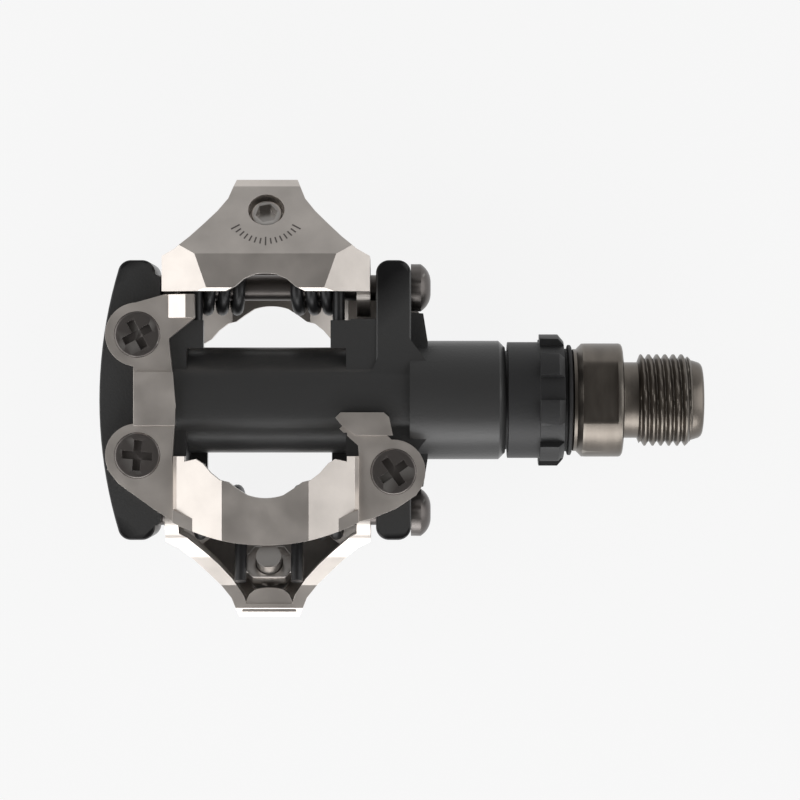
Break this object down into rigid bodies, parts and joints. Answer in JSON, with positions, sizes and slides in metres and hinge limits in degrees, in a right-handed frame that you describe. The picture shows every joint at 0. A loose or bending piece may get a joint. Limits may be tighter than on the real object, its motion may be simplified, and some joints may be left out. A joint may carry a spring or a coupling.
{
  "type": "clipless pedal",
  "caption": "Two-sided clipless bicycle pedal: black frame on a spindle with ball bearings, a fixed front claw and a sprung rear claw on each face with a tension screw.",
  "frame": {"origin": "centre of the spindle shoulder face that seats on the crank", "axes": "+X along the spindle towards the crank, +Z out of the first clip face, +Y towards that face's sprung claw"},
  "size_m": [0.0934, 0.068, 0.0268],
  "materials": {
    "body_black": "satin black die casting",
    "claw_steel": "satin nickel-plated pressed steel",
    "screw_black": "black oxide steel",
    "adjuster_steel": "plated steel",
    "spring_black": "black spring wire",
    "spindle_steel": "dark bronze-grey steel",
    "sleeve_plastic": "dark grey moulded plastic",
    "seal_rubber": "black rubber",
    "bush_plastic": "natural resin",
    "bearing_steel": "hardened bright steel"
  },
  "bodies": {
    "spindle_group": {"spindle": "spindle_steel", "cone_nut": "bearing_steel", "keyed_washer": "bearing_steel", "lock_nut": "bearing_steel"},
    "pedal": {"pedal_body": "body_black", "front_claw_plate_top": "claw_steel", "front_claw_plate_bottom": "claw_steel", "plate_screws_top": "screw_black", "plate_screws_bottom": "screw_black", "lock_sleeve": "sleeve_plastic", "dust_seal": "seal_rubber", "axle_bush": "bush_plastic", "bearing_tube": "bearing_steel", "pivot_pin_top": "screw_black", "pivot_pin_bottom": "screw_black", "spring_outboard_top": "spring_black", "spring_inboard_top": "spring_black", "spring_outboard_bottom": "spring_black", "spring_inboard_bottom": "spring_black"},
    "inner_ball_ring": {"inner_balls": "bearing_steel"},
    "outer_ball_ring": {"outer_balls": "bearing_steel"},
    "rear_claw_top": {"rear_claw_top": "claw_steel"},
    "tension_screw_top": {"tension_screw_top": "adjuster_steel"},
    "tension_nut_top": {"tension_nut_top": "adjuster_steel"},
    "rear_claw_bottom": {"rear_claw_bottom": "claw_steel"},
    "tension_screw_bottom": {"tension_screw_bottom": "adjuster_steel"},
    "tension_nut_bottom": {"tension_nut_bottom": "adjuster_steel"}
  },
  "joints": [
    {"name": "pedal_spin", "type": "hinge", "parent": "spindle_group", "child": "pedal", "pos_m": [-0.05, 0, 0], "axis": [1, 0, 0], "continuous": true},
    {"name": "inner_ball_roll", "type": "hinge", "parent": "spindle_group", "child": "inner_ball_ring", "pos_m": [-0.033, 0, 0], "axis": [1, 0, 0], "continuous": true},
    {"name": "outer_ball_roll", "type": "hinge", "parent": "spindle_group", "child": "outer_ball_ring", "pos_m": [-0.064, 0, 0], "axis": [1, 0, 0], "continuous": true},
    {"name": "rear_claw_top_open", "type": "hinge", "parent": "pedal", "child": "rear_claw_top", "pos_m": [-0.055, 0.0175, 0], "axis": [-1, 0, 0], "range_deg": [0, 18], "stiffness_Nm_per_rad": 8, "deforming": ["spring_outboard_top", "spring_inboard_top"]},
    {"name": "tension_screw_top_turn", "type": "hinge", "parent": "rear_claw_top", "child": "tension_screw_top", "pos_m": [-0.055, 0.029, 0.00853], "axis": [0, 0.5, 0.866], "range_deg": [0, 900], "deforming": ["spring_outboard_top", "spring_inboard_top"]},
    {"name": "tension_nut_top_travel", "type": "slide", "parent": "rear_claw_top", "child": "tension_nut_top", "axis": [0, 0.5, 0.866], "range_m": [-0.00175, 0], "deforming": ["spring_outboard_top", "spring_inboard_top"]},
    {"name": "rear_claw_bottom_open", "type": "hinge", "parent": "pedal", "child": "rear_claw_bottom", "pos_m": [-0.055, -0.0175, 0], "axis": [-1, 0, 0], "range_deg": [0, 18], "stiffness_Nm_per_rad": 8, "deforming": ["spring_outboard_bottom", "spring_inboard_bottom"]},
    {"name": "tension_screw_bottom_turn", "type": "hinge", "parent": "rear_claw_bottom", "child": "tension_screw_bottom", "pos_m": [-0.055, -0.029, -0.00853], "axis": [0, -0.5, -0.866], "range_deg": [0, 900], "deforming": ["spring_outboard_bottom", "spring_inboard_bottom"]},
    {"name": "tension_nut_bottom_travel", "type": "slide", "parent": "rear_claw_bottom", "child": "tension_nut_bottom", "axis": [0, -0.5, -0.866], "range_m": [-0.00175, 0], "deforming": ["spring_outboard_bottom", "spring_inboard_bottom"]}
  ],
  "couplings": [
    {"joint": "inner_ball_roll", "follows": "pedal_spin", "ratio": 0.5857},
    {"joint": "outer_ball_roll", "follows": "pedal_spin", "ratio": 0.5857},
    {"joint": "tension_screw_top_turn", "follows": "tension_nut_top_travel", "rad_per_m": -8975.9},
    {"joint": "tension_screw_bottom_turn", "follows": "tension_nut_bottom_travel", "rad_per_m": -8975.9}
  ]
}
